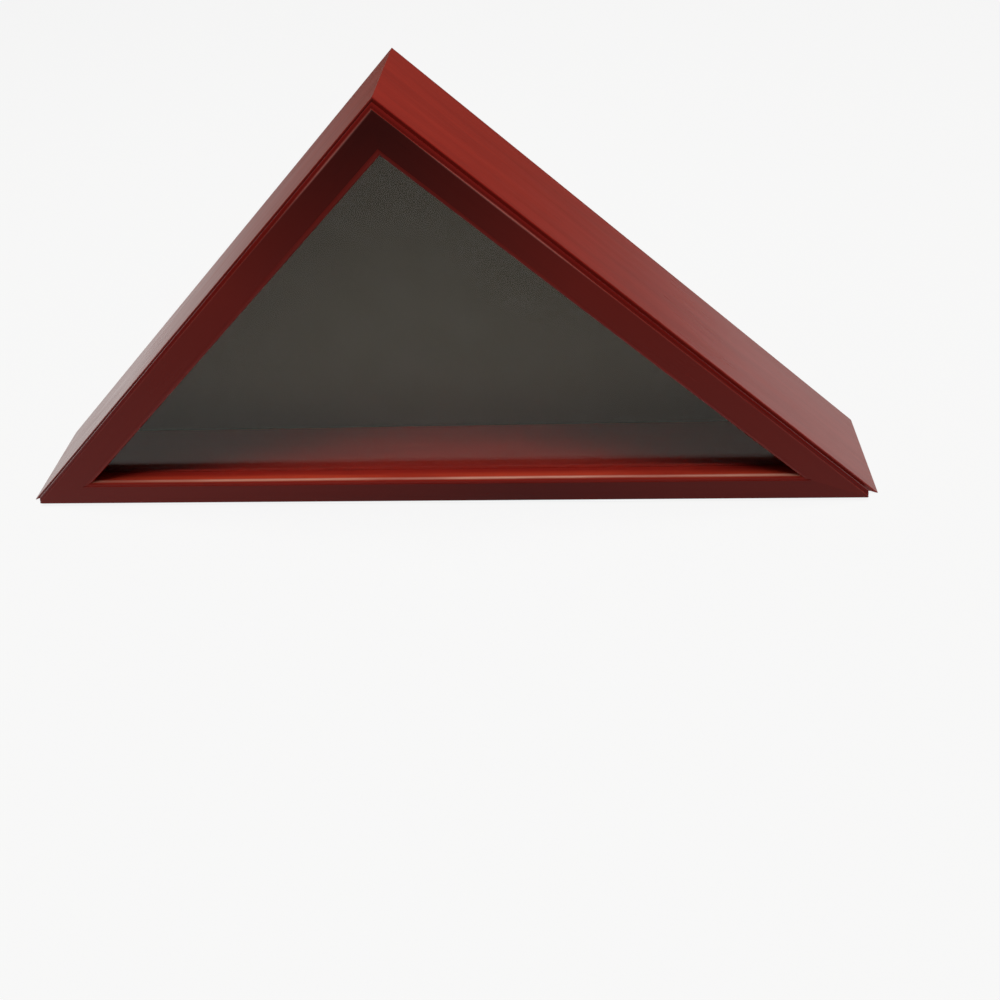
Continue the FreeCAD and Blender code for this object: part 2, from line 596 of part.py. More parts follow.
STOP_SECTION = [
    (Y_TONGUE_BACK, STOP_OUTER),
    (Y_STOP_BACK, STOP_OUTER),
    (Y_STOP_BACK, f"{STOP_INNER} - stop_radius", "stop_radius"),
    (f"{Y_STOP_BACK} - stop_radius", STOP_INNER),
    (Y_TONGUE_BACK, STOP_INNER),
]
GROOVED_BACK = [
    (f"{Y_LIP_BACK} - seam_bevel", "door_inset"),
    (Y_LIP_BACK, "door_inset + seam_bevel"),
]
HINGED_BACK = [
    (f"{Y_LIP_BACK} - hinge_bevel", "door_inset"),
    (Y_LIP_BACK, "door_inset + hinge_bevel"),
]
tip_cuts = [
    block(f"tip_cut_{tip}", "tip_cut", "lip_thickness", WINDOW, tip_x, Y_DOOR_FRONT, "0")
    for tip, tip_x in (("left", "-case_width / 2"), ("right", "case_width / 2 - tip_cut"))
]
for side, hand, back_corner, tools in (
    ("left", "left", GROOVED_BACK, [door_strikes]),
    ("right", "right", GROOVED_BACK, [door_strikes]),
    ("base", "bottom", HINGED_BACK, [hinge_door_screws] + rail_mortises),
):
    label = f"door_{hand}_rail"
    rail = stick(f"{label}_stick", side, rail_section(back_corner), WINDOW)
    keep(label, cut(label, rail, [door_v_nails, glass_stop_brads] + tip_cuts + tools))
    strip = stick(f"glass_stop_{hand}_stick", side, STOP_SECTION, STOP_INNER)
    keep(f"glass_stop_{hand}", cut(f"glass_stop_{hand}", strip, [glass_stop_brads]))

keep("glass_pane", prism("glass_pane", triangle(f"({GLASS_SEAT} + glass_play)"), "glass_thickness",
                         "0", Y_TONGUE_BACK, "0"))

# Every object has to be sound before anything is written.
doc.recompute()
faults = [item.Name for item in doc.Objects if {"Invalid", "Error"} & set(item.State)]
for label, (item, solids) in pieces.items():
    shape = item.Shape
    if shape.isNull() or not shape.isValid() or len(shape.Solids) != solids:
        faults.append(label)
if faults:
    raise RuntimeError("unsound: " + ", ".join(faults))

os.makedirs("parts", exist_ok=True)
for label, (item, _) in pieces.items():
    item.Shape.exportStep(f"parts/{label}.step")
    box = item.Shape.BoundBox
    print(f"{label}: {box.XLength:.1f} x {box.YLength:.1f} x {box.ZLength:.1f} mm")
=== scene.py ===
"""Looks of a triangular display case: finishes, felt lining, studio light and camera."""

import logging
import math
from dataclasses import dataclass
from enum import Enum

import bmesh
import bpy
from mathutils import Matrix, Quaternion, Vector, noise


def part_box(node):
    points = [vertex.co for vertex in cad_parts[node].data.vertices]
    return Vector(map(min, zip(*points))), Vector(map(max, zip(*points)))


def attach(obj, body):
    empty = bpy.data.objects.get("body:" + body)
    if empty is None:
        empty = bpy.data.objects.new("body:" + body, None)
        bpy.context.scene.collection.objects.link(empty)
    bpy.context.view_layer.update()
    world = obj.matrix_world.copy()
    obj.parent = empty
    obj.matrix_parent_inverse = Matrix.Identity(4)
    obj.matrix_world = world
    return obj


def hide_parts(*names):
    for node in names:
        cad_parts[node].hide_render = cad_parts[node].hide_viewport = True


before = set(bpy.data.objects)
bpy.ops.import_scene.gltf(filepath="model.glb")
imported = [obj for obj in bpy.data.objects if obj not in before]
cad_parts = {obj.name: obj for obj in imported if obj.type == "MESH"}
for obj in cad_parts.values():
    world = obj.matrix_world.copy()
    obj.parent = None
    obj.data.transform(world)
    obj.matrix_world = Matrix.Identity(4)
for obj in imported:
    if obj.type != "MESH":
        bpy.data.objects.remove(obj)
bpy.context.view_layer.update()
log = logging.getLogger("display_case")

MM = 0.001
CASE_WIDTH = 648 * MM
# Depth and inset, in millimetres, of the dark face on a stick that has none.
NO_FACE = -100.0


def linear(code: str) -> tuple[float, float, float, float]:
    """Turn an sRGB hex colour into linear light.

    Args:
        code: Colour as "#rrggbb".

    Returns:
        Red, green and blue, with an alpha of 1.
    """
    parts = [int(code[i:i + 2], 16) / 255 for i in (1, 3, 5)]
    return (*(c / 12.92 if c <= 0.04045 else ((c + 0.055) / 1.055) ** 2.4 for c in parts), 1.0)


def add(
    tree: bpy.types.NodeTree,
    kind: str,
    settings: dict[str, object] | None = None,
    inputs: dict[str | int, object] | None = None,
) -> bpy.types.Node:
    """Add one node with its settings and links.

    Args:
        tree: Node tree that gets the node.
        kind: Type name of the node.
        settings: Properties of the node itself.
        inputs: For a socket's name or number, a value or the output that feeds it.

    Returns:
        The new node.
    """
    node = tree.nodes.new(kind)
    for name, value in (settings or {}).items():
        setattr(node, name, value)
    for socket, value in (inputs or {}).items():
        if isinstance(value, bpy.types.NodeSocket):
            tree.links.new(value, node.inputs[socket])
        else:
            node.inputs[socket].default_value = value
    return node


class Side(Enum):
    """Sides of the triangle: turn about the depth axis in degrees, and middle as shares of the width."""

    BASE = (0.0, 0.0, 0.0)
    LEFT = (135.0, -0.25, 0.25)
    RIGHT = (225.0, 0.25, 0.25)

    @property
    def turn(self) -> tuple[float, float, float]:
        """Euler turn that lays a stick along this side."""
        return (0.0, math.radians(self.value[0]), 0.0)

    @property
    def middle(self) -> tuple[float, float, float]:
        """Middle of this side's outer edge, in metres."""
        return (self.value[1] * CASE_WIDTH, 0.0, self.value[2] * CASE_WIDTH)


class Plating(Enum):
    """Metals of the fittings: colour where they are bright, and where they have toned down."""

    ZINC = ("#C2C6CA", "#8E9398")
    HINGE_BRASS = ("#C9A256", "#8F6E33")
    SCREW_BRASS = ("#C9A256", "#94733A")
    NICKEL = ("#CFCBC1", "#A9A59B")


@dataclass(frozen=True)
class Finish:
    """A finish that becomes one Blender material."""

    name: str

    def shader(self, tree: bpy.types.NodeTree) -> bpy.types.NodeSocket:
        """Build the finish in a node tree and return the shader that it ends in."""
        raise NotImplementedError

    def make(self) -> bpy.types.Material:
        """Make the material.

        Returns:
            The material, with its surface joined to the output.
        """
        material = bpy.data.materials.new(self.name)
        material.use_nodes = True
        tree = material.node_tree
        tree.nodes.clear()
        add(tree, "ShaderNodeOutputMaterial", {}, {"Surface": self.shader(tree)})
        return material


@dataclass(frozen=True)
class ToneLine:
    """A line in another tone along a stick: edge wear, painted highlight, painted light, painted shade.

    Depth and inset say where the line lies in the stick's section, reach how wide it is, and strength and
    tone how it looks. A line that is not endless has its middle at along and reaches span to either side.
    Sizes are in millimetres.
    """

    depth: float
    inset: float
    reach: float
    strength: float
    tone: str
    along: float = 0.0
    span: float = math.inf


@dataclass(frozen=True)
class StainedHardwood(Finish):
    """Hardwood wiped with a red mahogany stain and sprayed with satin lacquer.

    The eye gets a deep even red with faint bands, fibres and pores along the stick, a soft sheen with a
    slight orange peel that is drier towards the top, and lines in other tones: edge wear, painted
    highlights, painted light and painted shade. On the door, the flat face and the outer edge get
    painted shade, deepest round one spot of painted shade.
    """

    side: Side
    plank: float
    tone_lines: tuple[ToneLine, ...]
    face_depth: float = NO_FACE
    face_inset: float = NO_FACE
    gloss: float = 0.17
    dusting: float = 0.15
    # Painted shade round one spot, by default the door's apex: its place, how far it reaches and its largest
    # share.
    spot_shade_place: tuple[float, float, float] = (0.0, -43.5 * MM, 324 * MM)
    spot_shade_reach: tuple[float, float] = (20 * MM, 175 * MM)
    spot_shade_share: float = 1.0
    stain: str = "#94241B"
    band: str = "#861F18"
    fibre: str = "#9E2C20"
    pore: str = "#6E1814"
    # Painted shade: the door's flat face, the spot of deepest shade on it, and its outer edge by the seam.
    face_shade: str = "#7E211A"
    spot_shade: str = "#330A08"
    rim: str = "#5E100D"
    dust: str = "#E6D3AE"
    darkening: float = 0.85
    edge_blend: float = 0.9
    face_blend: tuple[float, float] = (0.1, 0.4)
    roughness: tuple[float, float] = (0.2, 0.27)
    dry_height: tuple[float, float] = (100 * MM, 260 * MM)
    dryness: float = 0.2

    def grain(
        self, tree: bpy.types.NodeTree, place: bpy.types.NodeSocket,
    ) -> dict[str, bpy.types.NodeSocket]:
        """Build the noises that run along the stick.

        Args:
            tree: Node tree of the material.
            place: Object coordinates.

        Returns:
            The noise of each pattern, by name.
        """
        # Length along the grain and width across it in millimetres, detail and distortion. Real fibres and
        # pores are about a fifth of this width, and are drawn this coarse so that they show.
        patterns = {
            "band": (240, 15, 2.0, 0.9),
            "fibre": (55, 1.5, 3.0, 0.2),
            "pore": (13, 0.9, 1.0, 0.0),
            "peel": (6, 6, 1.0, 0.0),
            "rub": (90, 6, 2.0, 0.0),
        }
        noises = {}
        for name, (length, width, detail, distortion) in patterns.items():
            along = add(tree, "ShaderNodeMapping", {"vector_type": "TEXTURE"}, {
                "Vector": place, "Location": self.side.middle, "Rotation": self.side.turn,
                "Scale": (length * MM, width * MM, width * MM)})
            noises[name] = add(tree, "ShaderNodeTexNoise", {"noise_dimensions": "4D"}, {
                "Vector": along.outputs["Vector"], "W": self.plank, "Scale": 1.0,
                "Detail": detail, "Distortion": distortion}).outputs["Fac"]
        return noises

    def stained(
        self, tree: bpy.types.NodeTree, grain: dict[str, bpy.types.NodeSocket],
    ) -> bpy.types.NodeSocket:
        """Build the stain with its bands, fibres and pores.

        Args:
            tree: Node tree of the material.
            grain: The noises along the stick, by name.

        Returns:
            The colour of the stained wood.
        """
        colour = linear(self.stain)
        # Noise where a mark starts and where it is full, its largest share, and its colour.
        marks = (
            ("band", 0.64, 0.38, 0.8, self.band),
            ("fibre", 0.45, 0.75, 0.5, self.fibre),
            ("pore", 0.62, 0.74, 0.4, self.pore))
        for name, low, high, share, tone in marks:
            amount = add(tree, "ShaderNodeMapRange", {}, {
                "Value": grain[name], "From Min": low, "From Max": high, "To Max": share}).outputs["Result"]
            colour = add(tree, "ShaderNodeMix", {"data_type": "RGBA"}, {
                0: amount, 6: colour, 7: linear(tone)}).outputs[2]
        return colour

    def darkened(
        self, tree: bpy.types.NodeTree, place: bpy.types.NodeSocket, section: bpy.types.NodeSocket,
        colour: bpy.types.NodeSocket,
    ) -> bpy.types.NodeSocket:
        """Paint shade on the outer edge and the flat face, deepest round the spot of painted shade.

        Args:
            tree: Node tree of the material.
            place: Object coordinates.
            section: Place along the stick, in its depth and in from its outer edge, in millimetres.
            colour: Colour of the stained wood.

        Returns:
            The colour with painted shade on edge and face.
        """
        spot = add(tree, "ShaderNodeSeparateXYZ", {}, {"Vector": section}).outputs
        # Painted shade on the outer edge, where it runs into the seam.
        outer = add(tree, "ShaderNodeMapRange", {}, {
            "Value": spot["Z"], "From Min": self.face_inset - self.edge_blend, "From Max": self.face_inset,
            "To Min": self.darkening, "To Max": 0.0}).outputs["Result"]
        colour = add(tree, "ShaderNodeMix", {"data_type": "RGBA"}, {
            0: outer, 6: colour, 7: linear(self.rim)}).outputs[2]
        # Painted shade on the flat face, deepest round the spot of painted shade.
        flat = add(tree, "ShaderNodeMapRange", {}, {
            "Value": spot["Y"], "From Min": self.face_depth + self.face_blend[0],
            "From Max": self.face_depth + self.face_blend[1],
            "To Min": self.darkening, "To Max": 0.0}).outputs["Result"]
        # Painted shade: the face tone darkens towards the spot of shade.
        away = add(tree, "ShaderNodeVectorMath", {"operation": "DISTANCE"}, {
            0: place, 1: self.spot_shade_place}).outputs["Value"]
        run = add(tree, "ShaderNodeMapRange", {}, {
            "Value": away, "From Min": self.spot_shade_reach[0], "From Max": self.spot_shade_reach[1],
            "To Min": self.spot_shade_share, "To Max": 0.0}).outputs["Result"]
        tone = add(tree, "ShaderNodeMix", {"data_type": "RGBA"}, {
            0: run, 6: linear(self.face_shade), 7: linear(self.spot_shade)}).outputs[2]
        return add(tree, "ShaderNodeMix", {"data_type": "RGBA"}, {0: flat, 6: colour, 7: tone}).outputs[2]

    def rubbed(
        self, tree: bpy.types.NodeTree, section: bpy.types.NodeSocket, patchy: bpy.types.NodeSocket,
        colour: bpy.types.NodeSocket,
    ) -> bpy.types.NodeSocket:
        """Lay the lines in other tones: edge wear, painted highlights, painted light and painted shade.

        Args:
            tree: Node tree of the material.
            section: Place along the stick, in its depth and in from its outer edge, in millimetres.
            patchy: Noise that makes the lines uneven.
            colour: Colour of the wood so far.

        Returns:
            The colour with the lines.
        """
        # Patchy strength shared by every line: edge wear, painted highlights, painted light and painted
        # shade.
        wear_and_painted_light = add(tree, "ShaderNodeMapRange", {}, {
            "Value": patchy, "From Min": 0.35, "From Max": 0.6, "To Min": 0.35}).outputs["Result"]
        for rub in self.tone_lines:
            squeeze = rub.reach / rub.span
            across = add(tree, "ShaderNodeVectorMath", {"operation": "MULTIPLY"}, {
                0: section, 1: (squeeze, 1.0, 1.0)}).outputs["Vector"]
            away = add(tree, "ShaderNodeVectorMath", {"operation": "DISTANCE"}, {
                0: across, 1: (rub.along * squeeze, rub.depth, rub.inset)}).outputs["Value"]
            near = add(tree, "ShaderNodeMapRange", {"interpolation_type": "SMOOTHSTEP"}, {
                "Value": away, "From Min": 0.0, "From Max": rub.reach, "To Min": rub.strength,
                "To Max": 0.0}).outputs["Result"]
            amount = add(tree, "ShaderNodeMath", {"operation": "MULTIPLY"}, {
                0: near, 1: wear_and_painted_light}).outputs["Value"]
            colour = add(tree, "ShaderNodeMix", {"data_type": "RGBA"}, {
                0: amount, 6: colour, 7: linear(rub.tone)}).outputs[2]
        return colour

    def shader(self, tree: bpy.types.NodeTree) -> bpy.types.NodeSocket:
        """Build stain, grain, wear and lacquer.

        Args:
            tree: Node tree of the material.

        Returns:
            The shader of the lacquered wood.
        """
        place = add(tree, "ShaderNodeTexCoord").outputs["Object"]
        section = add(tree, "ShaderNodeMapping", {"vector_type": "TEXTURE"}, {
            "Vector": place, "Location": self.side.middle, "Rotation": self.side.turn,
            "Scale": (MM, MM, MM)}).outputs["Vector"]
        grain = self.grain(tree, place)
        colour = self.stained(tree, grain)
        colour = self.darkened(tree, place, section, colour)
        colour = self.rubbed(tree, section, grain["rub"], colour)

        height = add(tree, "ShaderNodeSeparateXYZ", {}, {"Vector": place}).outputs["Z"]
        dry = add(tree, "ShaderNodeMapRange", {}, {
            "Value": height, "From Min": self.dry_height[0], "From Max": self.dry_height[1],
            "To Max": self.dryness}).outputs["Result"]
        sheen = add(tree, "ShaderNodeMapRange", {}, {
            "Value": grain["rub"], "From Min": 0.3, "From Max": 0.7,
            "To Min": self.roughness[0], "To Max": self.roughness[1]}).outputs["Result"]
        sheen = add(tree, "ShaderNodeMath", {}, {0: sheen, 1: dry}).outputs["Value"]
        relief = add(tree, "ShaderNodeBump", {}, {
            "Height": grain["fibre"], "Strength": 0.5, "Distance": 0.02 * MM}).outputs["Normal"]
        relief = add(tree, "ShaderNodeBump", {}, {
            "Height": grain["peel"], "Strength": 0.5, "Distance": 0.04 * MM,
            "Normal": relief}).outputs["Normal"]
        return add(tree, "ShaderNodeBsdfPrincipled", {}, {
            "Base Color": colour, "Roughness": sheen, "Normal": relief,
            "IOR": 1.5, "Specular IOR Level": self.gloss, "Sheen Weight": self.dusting,
            "Sheen Roughness": 0.4, "Sheen Tint": linear(self.dust)}).outputs["BSDF"]


@dataclass(frozen=True)
class FloatGlass(Finish):
    """Float glass with a coat against glare, cut and wiped by hand.

    The eye gets a clear flat pane with a weak mirror image, faint smears that soften it and a trace of dust.
    """

    clear: str = "#FBFAF7"
    cast: str = "#F4F3EE"
    sheen: str = "#FFF6E8"
    index: float = 1.24
    clearness: float = 0.99
    haziest: float = 0.03

    def shader(self, tree: bpy.types.NodeTree) -> bpy.types.NodeSocket:
        """Build the pane.

        Args:
            tree: Node tree of the material.

        Returns:
            The shader of the glass, which lets the lamps through to the inside of the case.
        """
        place = add(tree, "ShaderNodeTexCoord").outputs["Object"]
        wiped = add(tree, "ShaderNodeMapping", {"vector_type": "TEXTURE"}, {
            "Vector": place, "Rotation": (0.0, math.radians(25.0), 0.0),
            "Scale": (160 * MM, 40 * MM, 40 * MM)}).outputs["Vector"]
        smear = add(tree, "ShaderNodeTexNoise", {}, {
            "Vector": wiped, "Scale": 1.0, "Detail": 3.0}).outputs["Fac"]
        colour = add(tree, "ShaderNodeMix", {"data_type": "RGBA"}, {
            0: smear, 6: linear(self.clear), 7: linear(self.cast)}).outputs[2]
        haze = add(tree, "ShaderNodeMapRange", {}, {
            "Value": smear, "From Min": 0.4, "From Max": 0.75,
            "To Min": 0.0, "To Max": self.haziest}).outputs["Result"]
        pane = add(tree, "ShaderNodeBsdfPrincipled", {}, {
            "Base Color": colour, "Roughness": haze, "IOR": self.index,
            "Specular Tint": linear(self.sheen),
            "Transmission Weight": self.clearness}).outputs["BSDF"]
        lamp_ray = add(tree, "ShaderNodeLightPath").outputs["Is Shadow Ray"]
        through = add(tree, "ShaderNodeBsdfTransparent").outputs["BSDF"]
        return add(tree, "ShaderNodeMixShader", {}, {0: lamp_ray, 1: pane, 2: through}).outputs["Shader"]


@dataclass(frozen=True)
class PressedFelt(Finish):
    """Grey wool felt, pressed and glued down.

    The eye gets a dull, slightly mottled dark grey with a short nap that catches light at the edge.
    """

    wool: str = "#5A574E"
    fluff: str = "#605D56"

    def shader(self, tree: bpy.types.NodeTree) -> bpy.types.NodeSocket:
        """Build the felt.

        Args:
            tree: Node tree of the material.

        Returns:
            The shader of the felt.
        """
        place = add(tree, "ShaderNodeTexCoord").outputs["Object"]
        # Wool fibres are a few hundredths of a millimetre thick; the tufts drawn here are about 4 mm.
        tuft = add(tree, "ShaderNodeTexNoise", {}, {
            "Vector": place, "Scale": 1 / (4.0 * MM), "Detail": 1.0}).outputs["Fac"]
        cloud = add(tree, "ShaderNodeTexNoise", {}, {
            "Vector": place, "Scale": 1 / (35 * MM), "Detail": 2.0}).outputs["Fac"]
        share = add(tree, "ShaderNodeMath", {"operation": "MULTIPLY"}, {0: tuft, 1: cloud}).outputs["Value"]
        share = add(tree, "ShaderNodeMapRange", {}, {
            "Value": share, "From Min": 0.12, "From Max": 0.42}).outputs["Result"]
        colour = add(tree, "ShaderNodeMix", {"data_type": "RGBA"}, {
            0: share, 6: linear(self.wool), 7: linear(self.fluff)}).outputs[2]
        dull = add(tree, "ShaderNodeMapRange", {}, {
            "Value": tuft, "To Min": 0.85, "To Max": 1.0}).outputs["Result"]
        return add(tree, "ShaderNodeBsdfPrincipled", {}, {
            "Base Color": colour, "Roughness": dull, "Specular IOR Level": 0.15,
            "Sheen Weight": 0.1, "Sheen Roughness": 0.5}).outputs["BSDF"]


@dataclass(frozen=True)
class Hardboard(Finish):
    """Tempered hardboard, wet pressed.

    The eye gets a warm brown, flecked with darker and paler wood fibre, dull on the pressed face.
    """

    pulp: str = "#6F4E37"
    dark_fleck: str = "#4C3324"
    pale_fleck: str = "#8F6C4F"

    def shader(self, tree: bpy.types.NodeTree) -> bpy.types.NodeSocket:
        """Build the board.

        Args:
            tree: Node tree of the material.

        Returns:
            The shader of the board.
        """
        place = add(tree, "ShaderNodeTexCoord").outputs["Object"]
        grain = {}
        # Fibre bundles of 1.5 mm, drawn at about twice their size so that they show, fine fibre, and cloudy
        # pressing marks.
        for name, size, detail in (("fleck", 3.0, 5.0), ("fibre", 1.2, 3.0), ("cloud", 60.0, 2.0)):
            grain[name] = add(tree, "ShaderNodeTexNoise", {}, {
                "Vector": place, "Scale": 1 / (size * MM), "Detail": detail}).outputs["Fac"]
        share = add(tree, "ShaderNodeMapRange", {}, {
            "Value": grain["fleck"], "From Min": 0.5, "From Max": 0.68}).outputs["Result"]
        colour = add(tree, "ShaderNodeMix", {"data_type": "RGBA"}, {
            0: share, 6: linear(self.pulp), 7: linear(self.dark_fleck)}).outputs[2]
        share = add(tree, "ShaderNodeMapRange", {}, {
            "Value": grain["fibre"], "From Min": 0.55, "From Max": 0.8, "To Max": 0.7}).outputs["Result"]
        colour = add(tree, "ShaderNodeMix", {"data_type": "RGBA"}, {
            0: share, 6: colour, 7: linear(self.pale_fleck)}).outputs[2]
        share = add(tree, "ShaderNodeMapRange", {}, {
            "Value": grain["cloud"], "From Min": 0.4, "From Max": 0.7, "To Max": 0.3}).outputs["Result"]
        colour = add(tree, "ShaderNodeMix", {"data_type": "RGBA"}, {
            0: share, 6: colour, 7: linear(self.dark_fleck)}).outputs[2]
        dull = add(tree, "ShaderNodeMapRange", {}, {
            "Value": grain["cloud"], "To Min": 0.5, "To Max": 0.75}).outputs["Result"]
        relief = add(tree, "ShaderNodeBump", {}, {
            "Height": grain["fibre"], "Strength": 0.5, "Distance": 0.08 * MM}).outputs["Normal"]
        return add(tree, "ShaderNodeBsdfPrincipled", {}, {
            "Base Color": colour, "Roughness": dull, "Normal": relief,
            "Specular IOR Level": 0.3}).outputs["BSDF"]


@dataclass(frozen=True)
class Beech(Finish):
    """Beech dowel rod, turned and left raw: pale, with short brown flecks along the rod."""

    wood: str = "#CDA77C"
    fleck: str = "#A87C50"

    def shader(self, tree: bpy.types.NodeTree) -> bpy.types.NodeSocket:
        """Build the raw wood.

        Args:
            tree: Node tree of the material.

        Returns:
            The shader of the rod.
        """
        place = add(tree, "ShaderNodeTexCoord").outputs["Object"]
        along = add(tree, "ShaderNodeMapping", {"vector_type": "TEXTURE"}, {
            "Vector": place, "Scale": (4 * MM, 0.5 * MM, 0.5 * MM)}).outputs["Vector"]
        ray = add(tree, "ShaderNodeTexNoise", {}, {
            "Vector": along, "Scale": 1.0, "Detail": 2.0}).outputs["Fac"]
        share = add(tree, "ShaderNodeMapRange", {}, {
            "Value": ray, "From Min": 0.5, "From Max": 0.7}).outputs["Result"]
        colour = add(tree, "ShaderNodeMix", {"data_type": "RGBA"}, {
            0: share, 6: linear(self.wood), 7: linear(self.fleck)}).outputs[2]
        dull = add(tree, "ShaderNodeMapRange", {}, {
            "Value": ray, "To Min": 0.55, "To Max": 0.7}).outputs["Result"]
        return add(tree, "ShaderNodeBsdfPrincipled", {}, {
            "Base Color": colour, "Roughness": dull}).outputs["BSDF"]


@dataclass(frozen=True)
class Metal(Finish):
    """A metal with cloudy tarnish and fine rub marks.

    The eye gets a bright shine where the metal is clean and a duller one where it has toned down.
    """

    plating: Plating
    cloud_size: float
    smooth: float
    rough: float

    def shader(self, tree: bpy.types.NodeTree) -> bpy.types.NodeSocket:
        """Build the metal.

        Args:
            tree: Node tree of the material.

        Returns:
            The shader of the metal.
        """
        bright, toned = self.plating.value
        place = add(tree, "ShaderNodeTexCoord").outputs["Object"]
        cloud = add(tree, "ShaderNodeTexNoise", {}, {
            "Vector": place, "Scale": 1 / (self.cloud_size * MM), "Detail": 3.0}).outputs["Fac"]
        rubbed = add(tree, "ShaderNodeMapping", {"vector_type": "TEXTURE"}, {
            "Vector": place, "Scale": (8 * MM, 0.4 * MM, 0.4 * MM)}).outputs["Vector"]
        rub = add(tree, "ShaderNodeTexNoise", {}, {
            "Vector": rubbed, "Scale": 1.0, "Detail": 2.0}).outputs["Fac"]
        share = add(tree, "ShaderNodeMapRange", {}, {
            "Value": cloud, "From Min": 0.4, "From Max": 0.7}).outputs["Result"]
        colour = add(tree, "ShaderNodeMix", {"data_type": "RGBA"}, {
            0: share, 6: linear(bright), 7: linear(toned)}).outputs[2]
        gloss = add(tree, "ShaderNodeMapRange", {}, {
            "Value": share, "To Min": self.smooth, "To Max": self.rough}).outputs["Result"]
        relief = add(tree, "ShaderNodeBump", {}, {
            "Height": rub, "Strength": 0.3, "Distance": 0.02 * MM}).outputs["Normal"]
        return add(tree, "ShaderNodeBsdfPrincipled", {}, {
            "Base Color": colour, "Metallic": 1.0, "Roughness": gloss, "Normal": relief}).outputs["BSDF"]


@dataclass(frozen=True)
class SoftRubber(Finish):
    """Die-cut rubber: near black, matt, with a faint grey bloom and a fine grain."""

    rubber: str = "#191A1B"
    bloom: str = "#2E2F30"

    def shader(self, tree: bpy.types.NodeTree) -> bpy.types.NodeSocket:
        """Build the rubber.

        Args:
            tree: Node tree of the material.

        Returns:
            The shader of the rubber.
        """
        place = add(tree, "ShaderNodeTexCoord").outputs["Object"]
        grain = add(tree, "ShaderNodeTexNoise", {}, {
            "Vector": place, "Scale": 1 / (0.6 * MM), "Detail": 3.0}).outputs["Fac"]
        share = add(tree, "ShaderNodeMapRange", {}, {
            "Value": grain, "From Min": 0.45, "From Max": 0.75}).outputs["Result"]
        colour = add(tree, "ShaderNodeMix", {"data_type": "RGBA"}, {
            0: share, 6: linear(self.rubber), 7: linear(self.bloom)}).outputs[2]
        dull = add(tree, "ShaderNodeMapRange", {}, {
            "Value": grain, "To Min": 0.7, "To Max": 0.9}).outputs["Result"]
        return add(tree, "ShaderNodeBsdfPrincipled", {}, {
            "Base Color": colour, "Roughness": dull}).outputs["BSDF"]


@dataclass(frozen=True)
class StudioPaper(Finish):
    """Studio paper.

    The eye gets a matt even white with a trace of mottle, as white in mirror images as in the picture.
    """

    paper: str = "#BDBCB9"
    mottle: str = "#B9B8B5"
    white_share: float = 0.88

    def shader(self, tree: bpy.types.NodeTree) -> bpy.types.NodeSocket:
        """Build the paper.

        Args:
            tree: Node tree of the material.

        Returns:
            The shader of the paper, which is part white light where the camera, gloss or glass looks at it.
        """
        place = add(tree, "ShaderNodeTexCoord").outputs["Object"]
        cloud = add(tree, "ShaderNodeTexNoise", {}, {
            "Vector": place, "Scale": 1 / (250 * MM), "Detail": 2.0}).outputs["Fac"]
        colour = add(tree, "ShaderNodeMix", {"data_type": "RGBA"}, {
            0: cloud, 6: linear(self.paper), 7: linear(self.mottle)}).outputs[2]
        matt = add(tree, "ShaderNodeBsdfPrincipled", {}, {
            "Base Color": colour, "Roughness": 0.9, "Specular IOR Level": 0.1}).outputs["BSDF"]
        white = add(tree, "ShaderNodeEmission", {}, {"Strength": 1.0}).outputs["Emission"]
        ray = add(tree, "ShaderNodeLightPath").outputs
        seen = add(tree, "ShaderNodeMath", {"operation": "MAXIMUM"}, {
            0: ray["Is Camera Ray"], 1: ray["Is Glossy Ray"]}).outputs["Value"]
        seen = add(tree, "ShaderNodeMath", {"operation": "MAXIMUM"}, {
            0: seen, 1: ray["Is Transmission Ray"]}).outputs["Value"]
        share = add(tree, "ShaderNodeMath", {"operation": "MULTIPLY"}, {
            0: seen, 1: self.white_share}).outputs["Value"]
        return add(tree, "ShaderNodeMixShader", {}, {0: share, 1: matt, 2: white}).outputs["Shader"]


def dress(node: str, finish: Finish) -> None:
    """Give a carried-over CAD node its finish.

    Args:
        node: Name of the CAD node.
        finish: Finish that all of the node takes.
    """
    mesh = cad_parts[node].data
    mesh.materials.clear()
    mesh.materials.append(finish.make())
    log.info("%s: %s", node, finish.name)


@dataclass
class BoxOfBoards:
    """The mitred box: two sloping boards, the base board, the back and the dowels across the mitres."""

    rear: float = 43.5
    edge: float = 0.5
    painted_shade: str = "#52140F"
    # Painted shade: a darker stain for the left board, whose side gets less light.
    shaded_left_plank: tuple[str, str, str] = ("#7C2019", "#701B16", "#86281E")

    def dress(self) -> None:
        """Give boards, back and dowels their finishes."""
        # A line of painted shade along the rear edge of every board.
        tone_lines = (ToneLine(self.rear - self.edge, self.edge, reach=1.6, strength=0.6, tone=self.painted_shade),)
        for node, side, plank in (("base_board", Side.BASE, 1.3), ("right_side_board", Side.RIGHT, 7.7)):
            dress(node, StainedHardwood(f"stained_hardwood_{node}", side, plank, tone_lines))
        # Painted shade on the left board, as a darker stain.
        stain, band, fibre = self.shaded_left_plank
        dress("left_side_board", StainedHardwood(
            "stained_hardwood_left_side_board", Side.LEFT, 4.1, tone_lines, stain=stain, band=band, fibre=fibre))
        dress("back_panel", Hardboard("tempered_hardboard"))
        dress("corner_dowels", Beech("raw_beech"))


